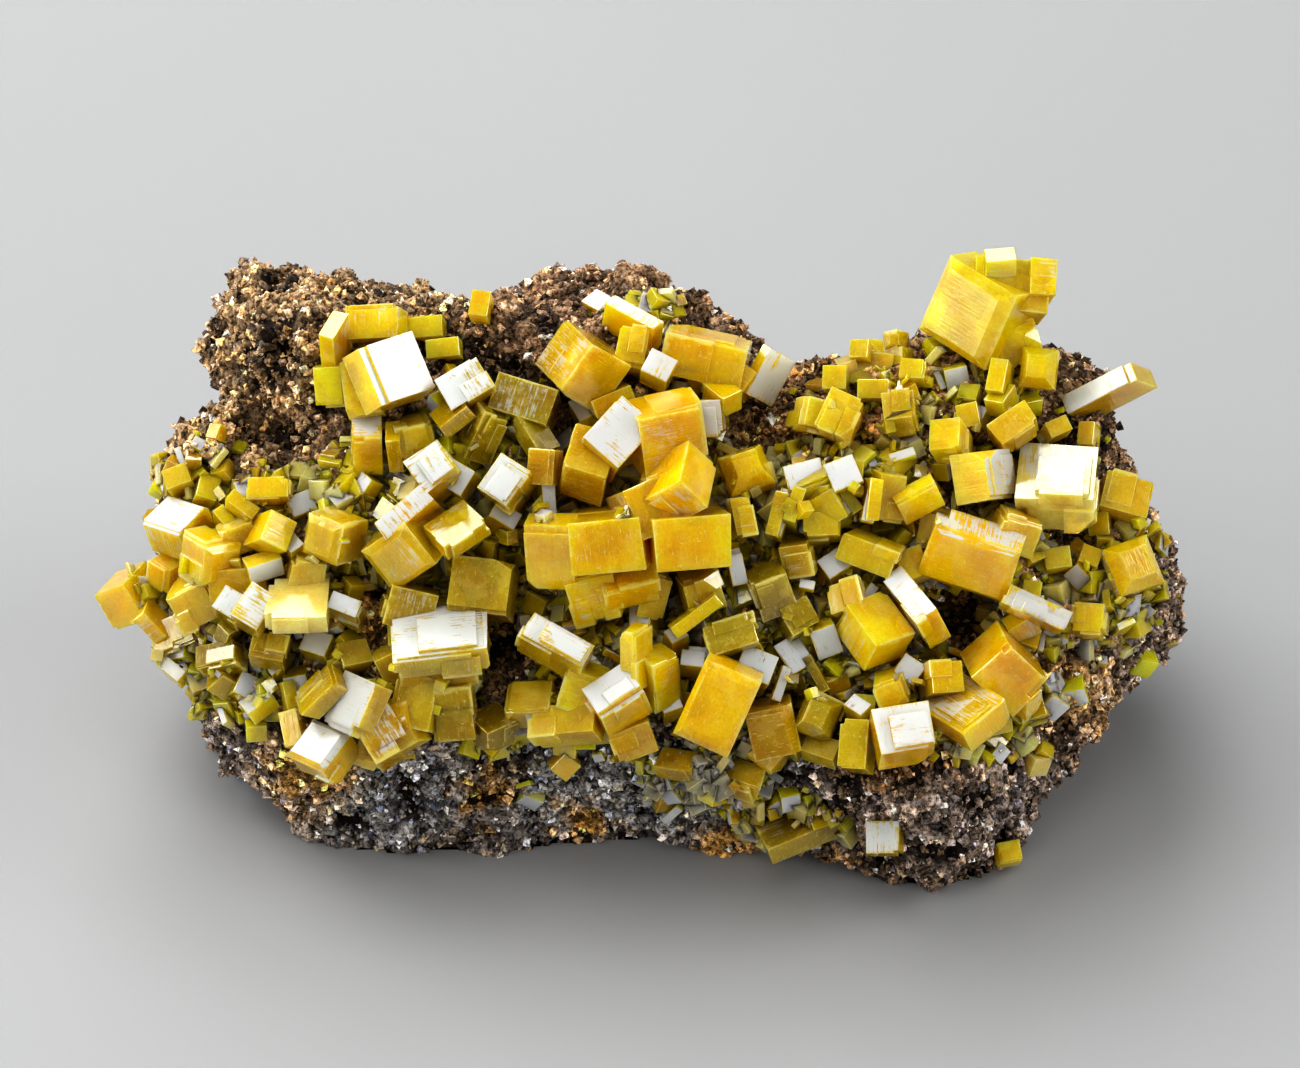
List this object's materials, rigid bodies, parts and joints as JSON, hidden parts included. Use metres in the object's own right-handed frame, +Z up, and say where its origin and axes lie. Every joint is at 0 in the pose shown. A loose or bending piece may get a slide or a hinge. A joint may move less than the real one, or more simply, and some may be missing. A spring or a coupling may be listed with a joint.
{
  "type": "wulfenite crystal specimen",
  "caption": "Blocky golden-yellow wulfenite crystals crowded over the leaning face of a rough brown lump of gossan matrix, cut flat underneath to stand on a shelf.",
  "frame": {"origin": "on the flat resting face, below the middle of the crystal face", "axes": "+X to the right along the length of the specimen, +Y to the back, +Z up"},
  "size_m": [0.0921, 0.0509, 0.0446],
  "materials": {
    "gossan": "rough, earthy, porous brown rock with ochre, tan and blue-black grains",
    "wulfenite": "resinous to adamantine golden-yellow crystal, partly see-through, with bright flat faces and pale frosted edges"
  },
  "bodies": {
    "root": {"matrix": "gossan", "crystals_centre_1": "wulfenite", "crystals_middle_left_1": "wulfenite", "crystals_right_1": "wulfenite", "crystals_upper_right_1": "wulfenite", "crystals_right_2": "wulfenite", "crystals_upper_middle_1": "wulfenite", "crystals_far_left_1": "wulfenite", "crystals_lower_middle_1": "wulfenite", "crystals_lower_right_1": "wulfenite", "crystals_lower_right_2": "wulfenite", "crystals_right_3": "wulfenite", "crystals_far_left_2": "wulfenite", "crystals_centre_2": "wulfenite", "crystals_far_left_3": "wulfenite", "crystals_left_1": "wulfenite", "crystals_upper_right_2": "wulfenite", "crystals_right_4": "wulfenite", "crystals_upper_right_3": "wulfenite", "crystals_centre_3": "wulfenite", "crystals_right_5": "wulfenite", "crystals_upper_right_4": "wulfenite", "crystals_left_2": "wulfenite", "crystals_lower_right_3": "wulfenite", "crystals_lower_right_4": "wulfenite", "crystals_lower_right_5": "wulfenite", "crystals_upper_right_5": "wulfenite", "crystals_upper_middle_2": "wulfenite", "crystals_far_left_4": "wulfenite", "crystals_far_left_5": "wulfenite", "crystals_right_6": "wulfenite", "crystals_lower_middle_2": "wulfenite", "crystals_upper_right_6": "wulfenite", "crystals_upper_right_7": "wulfenite", "crystals_lower_right_6": "wulfenite", "crystals_lower_middle_3": "wulfenite"}
  },
  "joints": []
}
